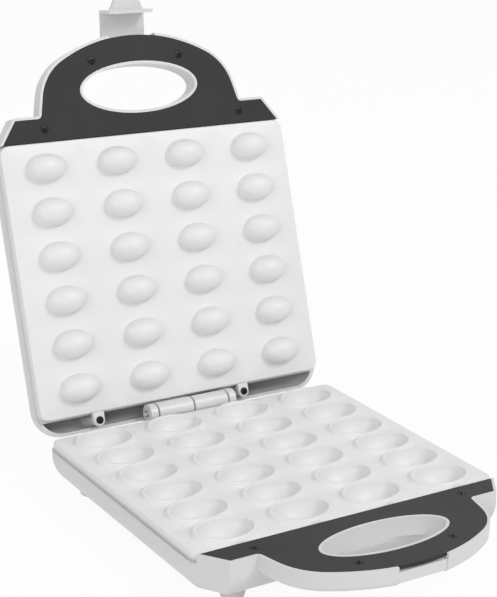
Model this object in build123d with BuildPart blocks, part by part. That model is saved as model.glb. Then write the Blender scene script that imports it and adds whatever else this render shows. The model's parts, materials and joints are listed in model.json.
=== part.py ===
from build123d import *
from math import cos, radians, sin
import os

# Electric maker for half-walnut pastry shells. Two hinged halves, each a plastic pan with a
# handle, a cast plate, a heating element behind the plate and a dark cover on the handle.
# X runs to the right seen from the handle, Y towards the hinge, Z up from the table.
# The lid stands open and its latch is swung out. Every length is in millimetres.

# Nut pattern, the same on both plates
columns = 4
rows = 6
column_pitch = 60.0
row_pitch = 33.3
cup_half_length = 20.6
cup_half_width = 15.1
cup_wall = 3.0
collar_height = 3.0
collar_top = 1.6
collar_foot = 3.0
dome_half_length = 16.1
dome_half_width = 10.65
dome_straight = 1.4
dome_wall = 2.0
nut_shift = 0.7

# Plates
plate_width = 248.0
plate_depth = 205.3
plate_corner = 7.0
plate_edge_round = 2.0
plate_side = 6.5
plate_skin = 4.0
plate_skirt = 5.0
plate_gap = 0.5
lug_places_x = (-77.0, 52.0)
lug_reach = 6.7
lug_radius = 4.6
lug_hole = 1.7
lug_drop = 1.0
lug_thick = 3.5

# Standing height and hinge
base_face = 40.0
hinge_setback = 9.1
hinge_rise = 0.9
barrel_radius = 7.2
pin_radius = 2.5
pin_bore = 1.6
pin_overhang = 1.5
lead_radius = 1.5
running_gap = 0.05
lid_open = 110.0
stop_gap = 0.3
knuckle_gap = 1.5
hinge_half = 38.0
outer_knuckle = 6.0
seam_x = 0.25
web_height = 15.0
hinge_block_back = 3.6
hinge_block_top = 9.9
hinge_block_low = 26.0
stop_start = 4.1
stop_end = 7.1
stop_deep = 13.5

# Pans
pan_width = 252.0
wall = 2.5
pan_upright = 4.0
pan_round = 22.0
pan_front_reach = 20.2
pan_shoulder_half = 110.0
pan_chamfer_back = 3.4
base_back_reach = 5.2
lid_back_reach = 14.2
base_back_corner = 14.0
lid_back_corner = 20.0
front_corner = 5.0
seat_inside = 2.9
seat_thick = 3.0
seat_behind = 2.0

# Handles and their covers
cover_thick = 2.5
cover_gap = 0.8
cover_fit = 0.2
cover_ledge = 1.2
cover_tip_half = 121.0
cover_shoulder_half = 108.6
cover_chamfer = 17.2
neck_half = 87.0
neck_round = 4.0
nose_half = 79.6
nose_reach = 49.3
nose_round = 40.0
handle_reach = 76.6
rim_width = 2.2
rim_step = 8.0
handle_depth = 14.0
handle_round = 4.0
handle_root = 9.0
slot_half_length = 52.0
slot_half_width = 20.4
slot_reach = 36.2
slot_fit = 0.3
collar_wall = 2.2
recess_half = 18.6
recess_depth = 2.1
recess_margin = 1.4
notch_depth = 4.0
notch_back = 3.0
rib_thick = 1.8

# Latch
latch_half = 19.0
latch_strap = 2.5
latch_cheek = 3.5
latch_standoff = 7.75
latch_pivot_back = 8.5
latch_pivot_depth = 8.8
latch_eye = 4.5
latch_root = 6.0
latch_grip = 24.75
latch_lip = 15.0
latch_lip_thick = 2.5
latch_tab_inset = 8.0
latch_tab_thick = 3.0
latch_tab_length = 12.5
latch_tab_half = 15.0
latch_tab_end_half = 8.5
latch_droop = 14.0
latch_pin_radius = 1.5
latch_pin_half = 21.5
latch_block_half = 22.0
latch_hook_depth = 12.0
latch_hook_length = 20.8
latch_side_gap = 0.4
latch_swing_gap = 0.55
latch_slot_gap = 0.3
latch_edge_round = 0.8

# Feet
foot_top_radius = 10.0
foot_low_radius = 7.9
foot_sink = 2.3
pad_thick = 1.5
pad_socket = 0.5
pad_radius = 6.8
front_foot = (92.0, 4.0)
back_foot = (101.0, 19.3)

# Fasteners
screw_fit = 0.05
cross_width = 0.9
cross_length = 4.0
cross_depth = 1.0
cover_head_radius = 3.2
cover_head_height = 1.8
cover_head_pocket = 1.5
cover_screw_radius = 1.5
cover_screw_length = 9.0
cover_boss_radius = 4.2
far_screw = (86.0, 10.3)
near_screw = (38.3, 59.0)
lug_head_radius = 2.9
lug_head_height = 1.4
lug_screw_radius = 1.5
lug_screw_length = 12.0
long_screw_radius = 1.9
long_head_radius = 3.6
long_head_height = 2.0
long_head_pocket = 2.2
long_bite = 9.0
pillar_radius = 7.0
post_radius = 5.0
clamp_bite = 6.0

# Heating
heater_radius = 3.2
heater_clear = 0.05
heater_front_inset = 46.0
heater_middle_inset = 49.0
heater_back_inset = 25.0
heater_pin_radius = 1.5
heater_pin_length = 6.0
bar_width = 12.0
bar_thick = 1.5
bar_half = 98.0
reflector_gap = 0.9
reflector_thick = 0.6
reflector_half = 104.0
reflector_front_inset = 12.0
reflector_back_inset = 16.0
reflector_lip = 3.0
thermostat_radius = 7.0
thermostat_height = 6.0
thermostat_tab_width = 3.0
thermostat_tab_thick = 0.8
thermostat_tab_in = 1.0
thermostat_tab_out = 3.0
thermostat_tab_rise = 3.0

# Supply
block_width = 30.0
block_depth = 10.0
block_height = 8.0
block_behind = 9.0
block_foot_depth = 25.0
block_step = 2.0
block_screw_pitch = 10.0
block_screw_radius = 1.8
wire_radius = 1.3
wire_room = 3.0
wire_rise = 6.0
wire_sag = 2.0
wire_turn = 0.72
gland_x = 84.0
gland_depth = 21.0
gland_radius = 5.0
gland_bore = 3.4
gland_flange_radius = 6.8
gland_flange = 2.0
gland_inside = 9.0
gland_tail = 9.0
gland_tail_radius = 4.4
gland_boss_radius = 7.5
gland_boss_out = 1.0
earth_x = -60.0
earth_behind = 7.5
earth_foot_depth = 24.0
earth_radius = 3.0
earth_height = 2.0
earth_margin = 1.0

# Worked-out places
base_half = (base_face, -1)
lid_face = base_face + collar_height + plate_gap
lid_half = (lid_face, 1)
lean = radians(lid_open - 90.0)
front_reach = hinge_setback + plate_depth + handle_reach + rim_width
droop = radians(latch_droop)
lip_out = latch_grip + latch_lip_thick
lip_up = latch_standoff + latch_strap
strap_end = front_reach - latch_pivot_back + lip_out * cos(droop) + lip_up * sin(droop)
strap_top = lid_face + latch_pivot_depth - lip_out * sin(droop) + lip_up * cos(droop)
hinge_z = base_face + hinge_rise
back_reach = strap_end * sin(lean) + (strap_top - hinge_z) * cos(lean)
hinge_y = (front_reach - back_reach) / 2
hinge_line = Axis((0, hinge_y, hinge_z), (1, 0, 0))
plate_back = hinge_y - hinge_setback
plate_front = plate_back - plate_depth
plate_middle = (plate_back + plate_front) / 2
grid_y = plate_middle - nut_shift
pan_front = plate_front - pan_front_reach
pan_depth = plate_side + pan_upright + pan_round
slot_y = plate_front - slot_reach
handle_front = plate_front - handle_reach
latch_y = handle_front - rim_width + latch_pivot_back
latch_z = lid_face + latch_pivot_depth
latch_line = Axis((0, latch_y, latch_z), (1, 0, 0))
base_heater = cup_half_width + cup_wall - collar_height + heater_clear + heater_radius
lid_heater = plate_skin + heater_clear + heater_radius
long_head_seat = pan_depth - long_head_pocket
base_reflector_depth = base_heater + heater_radius + bar_thick + long_head_height + reflector_gap
lid_reflector_depth = lid_heater + heater_radius + bar_thick + long_head_height + reflector_gap
base_pillar_top = base_reflector_depth + reflector_thick
lid_pillar_top = lid_reflector_depth + reflector_thick
gland_wall = plate_back + base_back_reach + gland_boss_out
gland_z = base_face - gland_depth
latch_block_end = latch_hook_length - rim_width + wall
nut_places = [loc.position for loc in GridLocations(column_pitch, row_pitch, columns, rows)]
clamp_places = [(x, grid_y + y) for x in (-column_pitch, column_pitch) for y in (-row_pitch, row_pitch)]
long_places = [(x, grid_y + 2 * y) for x in (-column_pitch, column_pitch) for y in (-row_pitch, row_pitch)]
far_screws = [(side * far_screw[0], plate_front - far_screw[1]) for side in (-1, 1)]
near_screws = [(side * near_screw[0], plate_front - near_screw[1]) for side in (-1, 1)]
cover_screws = far_screws + near_screws
lug_places = [(x, plate_back + lug_reach) for x in lug_places_x]
foot_places = [(s * front_foot[0], plate_front + front_foot[1]) for s in (-1, 1)]
foot_places += [(s * back_foot[0], plate_back - back_foot[1]) for s in (-1, 1)]
base_knuckles = [(-hinge_half, outer_knuckle - hinge_half)]
base_knuckles += [(seam_x + knuckle_gap / 2, hinge_half - outer_knuckle - knuckle_gap)]
lid_knuckles = [(outer_knuckle - hinge_half + knuckle_gap, seam_x - knuckle_gap / 2)]
lid_knuckles += [(hinge_half - outer_knuckle, hinge_half)]

os.makedirs("parts", exist_ok=True)


def save(piece, name):
    """Label a finished piece and write it."""
    piece.part.label = name
    export_step(piece.part, f"parts/{name}.step")


def open_up(piece):
    """Swing a lid piece from its closed place to the open one."""
    piece.part = piece.part.rotate(hinge_line, -lid_open)


def stop_z(back):
    """Height of the stop face at a distance behind the hinge, just below the open lid."""
    wall_back = lid_back_reach - hinge_setback
    face = -(back * sin(lean) + wall_back) / cos(lean)
    return hinge_z + face - stop_gap


def behind(half, depth):
    """The plane at a depth behind one half's plate face."""
    return Plane.XY.offset(half[0] + half[1] * depth)


def column(half, places, near, far, radius, mode=Mode.ADD):
    """Round posts, or holes, between two depths of one half."""
    with BuildSketch(behind(half, near)) as section:
        with Locations(*places):
            Circle(radius)
    extrude(section.sketch, amount=half[1] * (far - near), mode=mode)


def block(half, xs, ys, near, far, mode=Mode.ADD):
    """A box, or pocket, between two depths of one half."""
    with BuildSketch(behind(half, near)) as section:
        with Locations(((xs[0] + xs[1]) / 2, (ys[0] + ys[1]) / 2)):
            Rectangle(xs[1] - xs[0], ys[1] - ys[0])
    extrude(section.sketch, amount=half[1] * (far - near), mode=mode)


def bar_x(xs, y, z, radius, mode=Mode.ADD):
    """A round bar, or bore, along X."""
    with BuildSketch(Plane.YZ.offset(xs[0])) as section:
        with Locations((y, z)):
            Circle(radius)
    extrude(section.sketch, amount=xs[1] - xs[0], mode=mode)


def bar_y(x, ys, z, radius, mode=Mode.ADD):
    """A round bar, or bore, along Y."""
    with BuildSketch(Plane((x, ys[0], z), x_dir=(1, 0, 0), z_dir=(0, 1, 0))) as section:
        Circle(radius)
    extrude(section.sketch, amount=ys[1] - ys[0], mode=mode)


def screws(half, places, seat, head_radius, head_height, shank_radius, length, way):
    """Cross-head screws: the head outside a seat depth, the shank running on by its length."""
    column(half, places, seat, seat - way * head_height, head_radius)
    column(half, places, seat, seat + way * length, shank_radius)
    top = seat - way * head_height
    with BuildSketch(behind(half, top)) as section:
        with Locations(*places):
            Rectangle(cross_length, cross_width)
            Rectangle(cross_width, cross_length)
    extrude(section.sketch, amount=half[1] * way * cross_depth, mode=Mode.SUBTRACT)


# Outlines seen from above

neck_y = plate_front - cover_gap - cover_chamfer
nose_right = (nose_half, plate_front - nose_reach)
nose_left = (-nose_half, plate_front - nose_reach)

with BuildSketch() as cover_sketch:
    with BuildLine():
        ThreePointArc(nose_right, (0, handle_front), nose_left)
        Polyline(
            nose_left,
            (-neck_half, neck_y),
            (-cover_shoulder_half, neck_y),
            (-cover_tip_half, plate_front - cover_gap),
            (cover_tip_half, plate_front - cover_gap),
            (cover_shoulder_half, neck_y),
            (neck_half, neck_y),
            nose_right,
        )
    make_face()
    fillet([v for v in cover_sketch.vertices() if abs(abs(v.X) - neck_half) < 0.01], neck_round)
    fillet([v for v in cover_sketch.vertices() if abs(abs(v.X) - nose_half) < 0.01], nose_round)
cover_outline = cover_sketch.sketch

with BuildSketch() as rim_sketch:
    add(cover_outline)
    offset(amount=rim_width, kind=Kind.ARC)
    with Locations((0, plate_front - cover_gap)):
        Rectangle(2 * pan_width, 2 * plate_depth, align=(Align.CENTER, Align.MIN), mode=Mode.SUBTRACT)
    with Locations((0, neck_y - rim_width)):
        Rectangle(2 * pan_width, 2 * plate_depth, align=(Align.CENTER, Align.MAX), mode=Mode.SUBTRACT)
rim_outline = rim_sketch.sketch

with BuildSketch() as handle_sketch:
    with BuildLine():
        ThreePointArc(nose_right, (0, handle_front), nose_left)
        Polyline(
            nose_left,
            (-neck_half, neck_y),
            (-neck_half, neck_y + handle_root),
            (neck_half, neck_y + handle_root),
            (neck_half, neck_y),
            nose_right,
        )
    make_face()
    fillet([v for v in handle_sketch.vertices() if abs(abs(v.X) - nose_half) < 0.01], nose_round)
    offset(amount=rim_width, kind=Kind.INTERSECTION)
handle_outline = handle_sketch.sketch

with BuildSketch() as mouth_sketch:
    add(cover_outline)
    offset(amount=cover_fit, kind=Kind.ARC)
    with Locations((0, handle_front)):
        Rectangle(2 * recess_half, 2 * recess_depth, mode=Mode.SUBTRACT)
mouth_outline = mouth_sketch.sketch

with BuildSketch() as plate_sketch:
    with Locations((0, plate_middle)):
        RectangleRounded(plate_width, plate_depth, plate_corner)
plate_outline = plate_sketch.sketch


def pan_outline(back_y, back_corner, inset):
    """One pan seen from above, drawn in by an inset."""
    half = pan_width / 2
    shoulder = pan_shoulder_half
    edge = plate_front + pan_chamfer_back
    with BuildSketch() as outline:
        Polygon(
            (-half, back_y),
            (-half, edge),
            (-shoulder, pan_front),
            (shoulder, pan_front),
            (half, edge),
            (half, back_y),
            align=None,
        )
        if inset > 0:
            offset(amount=-inset, kind=Kind.INTERSECTION)
        corners = outline.vertices().sort_by(Axis.Y)
        fillet(corners[-2:], max(back_corner - inset / 2, front_corner))
        fillet(corners[:4], front_corner)
    return outline.sketch


def pan_bowl(half, back_y, back_corner, skin):
    """The solid bowl inside a given skin: upright at the rim, then rounded to its floor."""
    bend = pan_round - skin
    stations = [(0.0, 0.0), (pan_upright, 0.0)]
    stations += [
        (pan_upright + bend * sin(radians(a)), bend * (1 - cos(radians(a)))) for a in (30, 60, 90)
    ]
    sections = []
    for drop, inset in stations:
        sections.append(behind(half, plate_side + drop) * pan_outline(back_y, back_corner, skin + inset))
    with BuildPart() as bowl:
        loft(sections)
    return bowl.part


# Shapes shared by the two halves

def slab(half, outline, near, far, mode=Mode.ADD):
    """A ready outline between two depths of one half."""
    with BuildSketch(behind(half, near)) as section:
        add(outline)
    extrude(section.sketch, amount=half[1] * (far - near), mode=mode)


def slot(half, near, far, shrink, mode=Mode.ADD):
    """The finger slot between two depths, drawn in by a margin."""
    with BuildSketch(behind(half, near)) as section:
        with Locations((0, slot_y)):
            Ellipse(slot_half_length - shrink, slot_half_width - shrink)
    extrude(section.sketch, amount=half[1] * (far - near), mode=mode)


def housing(half, bowl, hollow, handle, fitting, pillar_top):
    """A pan with its handle tray, plate seat, finger slot, pillars and cover bosses."""
    add(bowl)
    slab(half, rim_outline, 0, rim_step)
    add(handle)
    add(hollow, mode=Mode.SUBTRACT)
    slab(half, mouth_outline, 0, cover_thick, Mode.SUBTRACT)
    with BuildSketch(behind(half, cover_thick)) as section:
        add(cover_outline)
        offset(amount=-cover_ledge, kind=Kind.ARC)
        with Locations((0, slot_y)):
            Ellipse(slot_half_length - slot_fit, slot_half_width - slot_fit, mode=Mode.SUBTRACT)
        with Locations((0, handle_front)):
            Rectangle(2 * latch_block_half, 2 * latch_block_end, mode=Mode.SUBTRACT)
    extrude(section.sketch, amount=half[1] * (handle_depth - wall - cover_thick), mode=Mode.SUBTRACT)
    add(fitting)
    slot(half, 0, cover_thick, slot_fit)
    slot(half, 0, handle_depth + wall, slot_fit + collar_wall, Mode.SUBTRACT)
    recess = (handle_front - 2 * rim_width, handle_front - recess_depth + rim_width)
    reach = recess_half + recess_margin
    block(half, (-reach, reach), recess, 0, pan_depth, Mode.SUBTRACT)
    notch = (handle_front - 2 * rim_width, handle_front + notch_back)
    block(half, (-reach, reach), notch, 0, notch_depth, Mode.SUBTRACT)
    column(half, cover_screws, 0, cover_screw_length, cover_screw_radius + screw_fit, Mode.SUBTRACT)
    column(half, long_places, pillar_top, pan_depth, long_screw_radius + screw_fit, Mode.SUBTRACT)
    column(half, long_places, long_head_seat, pan_depth, long_head_radius + cover_fit, Mode.SUBTRACT)


def plate_body(half, heater_depth, boss_end):
    """A plate's skin and skirt with posts for the heater clamps and bosses for the screws."""
    slab(half, plate_outline, 0, plate_side)
    rim = edges().group_by(Axis.Z)[-1 if half[1] < 0 else 0]
    fillet(rim, plate_edge_round)
    with BuildSketch(behind(half, plate_skin)) as section:
        add(plate_outline)
        offset(amount=-plate_skirt)
    extrude(section.sketch, amount=half[1] * plate_side, mode=Mode.SUBTRACT)
    column(half, clamp_places, plate_skin / 2, heater_depth + heater_radius, post_radius)
    column(half, long_places, plate_skin / 2, boss_end, post_radius)


def plate_holes(half, heater_depth, boss_end):
    """The blind holes in the clamp posts and screw bosses."""
    end = heater_depth + heater_radius
    column(half, clamp_places, end - clamp_bite, end, long_screw_radius + screw_fit, Mode.SUBTRACT)
    column(half, long_places, boss_end - long_bite, boss_end, long_screw_radius + screw_fit, Mode.SUBTRACT)


def heater(half, depth):
    """A serpentine tube with a bare pin at each end."""
    z = half[0] + half[1] * depth
    front = plate_front + heater_front_inset
    middle = plate_back - heater_middle_inset
    back = plate_back - heater_back_inset
    near = column_pitch / 2
    far = 3 * near
    with BuildLine(Plane.XY.offset(z)) as path:
        Line((-far, back), (-far, front))
        ThreePointArc((-far, front), (-column_pitch, front - near), (-near, front))
        Line((-near, front), (-near, middle))
        ThreePointArc((-near, middle), (0, middle + near), (near, middle))
        Line((near, middle), (near, front))
        ThreePointArc((near, front), (column_pitch, front - near), (far, front))
        Line((far, front), (far, back))
    with BuildSketch(Plane((-far, back, z), x_dir=(1, 0, 0), z_dir=(0, -1, 0))) as section:
        Circle(heater_radius)
    sweep(section.sketch, path=path.wire())
    for x in (-far, far):
        bar_y(x, (back, back + heater_pin_length), z, heater_pin_radius)


def clamps(half, depth):
    """Two bars that press the heater against the plate."""
    near = depth + heater_radius
    for y in (-row_pitch, row_pitch):
        ys = (grid_y + y - bar_width / 2, grid_y + y + bar_width / 2)
        block(half, (-bar_half, bar_half), ys, near, near + bar_thick)
    column(half, clamp_places, near, near + bar_thick, long_screw_radius + screw_fit, Mode.SUBTRACT)


def reflector(half, depth):
    """A thin tray that throws the heat back at the plate."""
    xs = (-reflector_half, reflector_half)
    ys = (plate_front + reflector_front_inset, plate_back - reflector_back_inset)
    near = depth - reflector_lip
    t = reflector_thick
    block(half, xs, ys, near, depth + t)
    block(half, (xs[0] + t, xs[1] - t), (ys[0] + t, ys[1] - t), near, depth, Mode.SUBTRACT)
    column(half, long_places, depth, depth + t, long_screw_radius + screw_fit, Mode.SUBTRACT)


def cover(half):
    """The dark cover on a handle."""
    slab(half, cover_outline, 0, cover_thick)
    slot(half, 0, cover_thick, 0.0, Mode.SUBTRACT)
    column(half, cover_screws, 0, cover_thick, cover_screw_radius + screw_fit, Mode.SUBTRACT)
    column(half, cover_screws, 0, cover_head_pocket, cover_head_radius + screw_fit, Mode.SUBTRACT)


def cover_screw_set(half):
    """The four screws of a handle cover."""
    length = cover_screw_length - cover_head_pocket
    screws(half, cover_screws, cover_head_pocket, cover_head_radius, cover_head_height,
           cover_screw_radius, length, 1)


def long_screw_set(half, boss_end):
    """The four screws that pull a plate into its pan."""
    length = long_head_seat - boss_end + long_bite - screw_fit
    screws(half, long_places, long_head_seat, long_head_radius, long_head_height,
           long_screw_radius, length, -1)


def clamp_screw_set(half, depth):
    """The four screws of the clamp bars."""
    seat = depth + heater_radius + bar_thick
    screws(half, clamp_places, seat, long_head_radius, long_head_height,
           long_screw_radius, bar_thick + clamp_bite - screw_fit, -1)


def fitting_set(half, core, pillar_top, pedestals, lugs):
    """Rib, plate seat, pillars and bosses, kept inside the outer skin of the pan."""
    rib = (plate_front - cover_gap - rib_thick, plate_front - cover_gap)
    with BuildPart() as inside:
        block(half, (-pan_width / 2, pan_width / 2), rib, plate_side, pan_depth)
        with BuildSketch(behind(half, plate_side)) as section:
            Rectangle(2 * pan_width, 4 * plate_depth)
            with Locations((0, plate_back + seat_behind)):
                Rectangle(2 * pan_width, plate_depth, align=(Align.CENTER, Align.MIN), mode=Mode.SUBTRACT)
            with Locations((0, plate_front - cover_gap)):
                Rectangle(2 * pan_width, plate_depth, align=(Align.CENTER, Align.MAX), mode=Mode.SUBTRACT)
            with Locations((0, plate_middle)):
                Rectangle(plate_width - 2 * seat_inside, plate_depth - 2 * seat_inside, mode=Mode.SUBTRACT)
        extrude(section.sketch, amount=half[1] * seat_thick)
        column(half, long_places, pillar_top, pan_depth, pillar_radius)
        for xs, ys, near in pedestals:
            block(half, xs, ys, near, pan_depth)
        column(half, far_screws, cover_thick, pan_depth, cover_boss_radius)
        if lugs:
            column(half, lugs, lug_drop + lug_thick, pan_depth, lug_radius)
        add(core, mode=Mode.INTERSECT)
        block(half, (-cover_tip_half, cover_tip_half), rib, cover_thick, plate_side)
        column(half, far_screws, cover_thick, plate_side, cover_boss_radius)
        if lugs:
            column(half, lugs, lug_drop + lug_thick, plate_side, lug_radius)
        column(half, near_screws, cover_thick, handle_depth - wall / 2, cover_boss_radius)
    return inside.part


def handle_body(half):
    """The handle tray before hollowing, its lower edge rounded."""
    with BuildPart() as grip:
        slab(half, handle_outline, 0, handle_depth)
        floor = faces().sort_by(Axis.Z)[0 if half[1] < 0 else -1]
        fillet([e for e in floor.edges() if e.center().Y < neck_y + handle_root / 2], handle_round)
    return grip.part


# Pans as solids
base_bowl = pan_bowl(base_half, plate_back + base_back_reach, base_back_corner, 0.0)
base_hollow = pan_bowl(base_half, plate_back + base_back_reach, base_back_corner, wall)
lid_bowl = pan_bowl(lid_half, plate_back + lid_back_reach, lid_back_corner, 0.0)
lid_hollow = pan_bowl(lid_half, plate_back + lid_back_reach, lid_back_corner, wall)
block_ys = (plate_back - block_behind - block_depth / 2, plate_back - block_behind + block_depth / 2)
block_pedestal = ((-block_width / 2, block_width / 2), block_ys, block_foot_depth)
earth_y = plate_back - earth_behind
earth_side = earth_radius + earth_margin
earth_xs = (earth_x - earth_side, earth_x + earth_side)
earth_pedestal = (earth_xs, (earth_y - earth_side, earth_y + earth_side), earth_foot_depth)
base_core = pan_bowl(base_half, plate_back + base_back_reach, base_back_corner, wall / 2)
lid_core = pan_bowl(lid_half, plate_back + lid_back_reach, lid_back_corner, wall / 2)
base_fitting = fitting_set(base_half, base_core, base_pillar_top, (block_pedestal, earth_pedestal), ())
lid_fitting = fitting_set(lid_half, lid_core, lid_pillar_top, (), lug_places)

# Base shell
with BuildPart() as base_shell:
    housing(base_half, base_bowl, base_hollow, handle_body(base_half), base_fitting, base_pillar_top)
    reach = recess_half + recess_margin
    hook = (handle_front - 2 * rim_width, handle_front - rim_width + latch_hook_length)
    block(base_half, (-reach, reach), hook, latch_hook_depth, pan_depth, Mode.SUBTRACT)
    foot_bottom = pad_thick - pad_socket
    foot_height = base_face - pan_depth + foot_sink - foot_bottom
    with Locations(*[(x, y, foot_bottom + foot_height / 2) for x, y in foot_places]):
        Cone(foot_low_radius, foot_top_radius, foot_height)
    column(base_half, foot_places, base_face - pad_thick, base_face, pad_radius + screw_fit, Mode.SUBTRACT)
    inner_y = plate_back + base_back_reach - wall / 2
    with BuildSketch(Plane.YZ):
        Polygon(
            (inner_y, hinge_z - hinge_block_low),
            (hinge_y + hinge_block_back, hinge_z - hinge_block_low + hinge_block_back),
            (hinge_y + stop_end, hinge_z - stop_deep),
            (hinge_y + stop_end, stop_z(stop_end)),
            (hinge_y + stop_start, stop_z(stop_start)),
            (hinge_y, hinge_z - hinge_block_top),
            (inner_y, hinge_z - hinge_block_top),
            align=None,
        )
    extrude(amount=hinge_half, both=True)
    for xs in base_knuckles:
        bar_x(xs, hinge_y, hinge_z, barrel_radius)
        under = (inner_y, hinge_y + hinge_block_back)
        block(base_half, xs, under, -hinge_rise, hinge_block_top)
    bar_x((-hinge_half, hinge_half), hinge_y, hinge_z, pin_radius + running_gap, Mode.SUBTRACT)
    boss_ys = (gland_wall - gland_inside + wall, gland_wall)
    bore_ys = (gland_wall - 2 * gland_inside, gland_wall)
    bar_y(gland_x, boss_ys, gland_z, gland_boss_radius)
    bar_y(gland_x, bore_ys, gland_z, gland_radius + screw_fit, Mode.SUBTRACT)
save(base_shell, "base_shell")

# Base handle cover and its screws
with BuildPart() as base_handle_cover:
    cover(base_half)
save(base_handle_cover, "base_handle_cover")

with BuildPart() as base_cover_screws:
    cover_screw_set(base_half)
save(base_cover_screws, "base_cover_screws")

# One cup's outside, its cavity and its collar, standing at the middle of the face
with BuildPart() as cup:
    with BuildSketch(Plane.XY.offset(collar_height)):
        Ellipse(cup_half_length + cup_wall, cup_half_width + cup_wall)
        with Locations((0, -row_pitch)):
            Rectangle(2 * column_pitch, 2 * row_pitch, mode=Mode.SUBTRACT)
    revolve(axis=Axis((0, 0, collar_height), (1, 0, 0)), revolution_arc=-180)
    with Locations((0, 0, collar_height)):
        Box(column_pitch, row_pitch + 2 * cup_wall, 2 * collar_height, mode=Mode.SUBTRACT)

with BuildPart() as cavity:
    with BuildSketch(Plane.XY.offset(collar_height)):
        Ellipse(cup_half_length, cup_half_width)
        with Locations((0, -row_pitch)):
            Rectangle(2 * column_pitch, 2 * row_pitch, mode=Mode.SUBTRACT)
    revolve(axis=Axis((0, 0, collar_height), (1, 0, 0)), revolution_arc=-180)

with BuildPart() as collar:
    with BuildSketch():
        Ellipse(cup_half_length + collar_foot, cup_half_width + collar_foot)
    with BuildSketch(Plane.XY.offset(collar_height)):
        Ellipse(cup_half_length + collar_top, cup_half_width + collar_top)
    loft()

# Base plate with its cups
nut_spots = [Location((x, y + grid_y, base_face)) for x, y, _ in nut_places]
with BuildPart() as base_plate:
    plate_body(base_half, base_heater, base_reflector_depth)
    add([cup.part.solid().moved(spot) for spot in nut_spots])
    add([collar.part.solid().moved(spot) for spot in nut_spots])
    for spot in nut_spots:
        add(cavity.part.solid().moved(spot), mode=Mode.SUBTRACT)
    plate_holes(base_half, base_heater, base_reflector_depth)
save(base_plate, "base_plate")

with BuildPart() as base_plate_screws:
    long_screw_set(base_half, base_reflector_depth)
save(base_plate_screws, "base_plate_screws")

# Heating of the base
with BuildPart() as base_heating:
    heater(base_half, base_heater)
save(base_heating, "base_heater")

with BuildPart() as base_clamps:
    clamps(base_half, base_heater)
save(base_clamps, "base_heater_clamps")

with BuildPart() as base_clamp_screws:
    clamp_screw_set(base_half, base_heater)
save(base_clamp_screws, "base_clamp_screws")

with BuildPart() as base_reflector:
    reflector(base_half, base_reflector_depth)
save(base_reflector, "base_reflector")

# Thermostat on the base plate, between four cups
with BuildPart() as base_thermostat:
    column(base_half, [(0, grid_y)], plate_skin, plate_skin + thermostat_height, thermostat_radius)
    tab = (thermostat_radius - thermostat_tab_in, thermostat_radius + thermostat_tab_out)
    tab_ys = (grid_y - thermostat_tab_width / 2, grid_y + thermostat_tab_width / 2)
    tab_near = plate_skin + thermostat_tab_rise
    for side in (-1, 1):
        tab_xs = sorted((side * tab[0], side * tab[1]))
        block(base_half, tab_xs, tab_ys, tab_near, tab_near + thermostat_tab_thick)
save(base_thermostat, "base_thermostat")

# Supply parts in the base
block_top = block_foot_depth - block_height
block_mid = (block_ys[0] + block_ys[1]) / 2
terminals = [(i * block_screw_pitch, block_mid) for i in (-1, 0, 1)]
with BuildPart() as terminal_block:
    block(base_half, (-block_width / 2, block_width / 2), block_ys, block_top, block_foot_depth)
    column(base_half, terminals, block_top, block_top + block_step, block_screw_radius, Mode.SUBTRACT)
save(terminal_block, "terminal_block")

with BuildPart() as earth_screw:
    column(base_half, [(earth_x, earth_y)], earth_foot_depth - earth_height, earth_foot_depth, earth_radius)
save(earth_screw, "earth_screw")

with BuildPart() as cord_gland:
    tail_start = gland_wall + gland_flange
    tail_end = tail_start + gland_tail
    bar_y(gland_x, (gland_wall - gland_inside, gland_wall), gland_z, gland_radius)
    bar_y(gland_x, (gland_wall, tail_start), gland_z, gland_flange_radius)
    with BuildSketch(Plane((gland_x, tail_start, gland_z), x_dir=(1, 0, 0), z_dir=(0, 1, 0))):
        Circle(gland_radius)
    with BuildSketch(Plane((gland_x, tail_end, gland_z), x_dir=(1, 0, 0), z_dir=(0, 1, 0))):
        Circle(gland_tail_radius)
    loft()
    bar_y(gland_x, (gland_wall - gland_inside, tail_end), gland_z, gland_bore, Mode.SUBTRACT)
save(cord_gland, "cord_gland")

# Wires in the base
heater_end = plate_back - heater_back_inset + heater_pin_length
heater_z = base_face - base_heater
wire_z = base_face - block_top - block_height / 2
pin_x = (columns - 1) / 2 * column_pitch
with BuildPart() as base_wires:
    for side in (-1, 1):
        start = (side * pin_x, heater_end, heater_z)
        middle = (side * wire_turn * pin_x, block_mid, wire_z + wire_sag)
        end = (side * block_width / 2, block_mid, wire_z)
        with BuildLine() as run:
            Spline(start, middle, end, tangents=((0, 1, 0), (-side, 0, 0)))
        with BuildSketch(Plane(start, x_dir=(1, 0, 0), z_dir=(0, 1, 0))) as section:
            Circle(wire_radius)
        sweep(section.sketch, path=run.wire())
save(base_wires, "base_wires")

with BuildPart() as foot_pads:
    column(base_half, foot_places, base_face - pad_thick, base_face, pad_radius)
save(foot_pads, "foot_pads")

# Hinge pin, hollow for the lead to the lid
pin_xs = (-hinge_half - pin_overhang, hinge_half + pin_overhang)
with BuildPart() as hinge_pin:
    bar_x(pin_xs, hinge_y, hinge_z, pin_radius)
    bar_x(pin_xs, hinge_y, hinge_z, pin_bore, Mode.SUBTRACT)
save(hinge_pin, "hinge_pin")

with BuildPart() as hinge_lead:
    bar_x((pin_xs[0] - pin_overhang, pin_xs[1] + pin_overhang), hinge_y, hinge_z, lead_radius)
save(hinge_lead, "hinge_lead")

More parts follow.
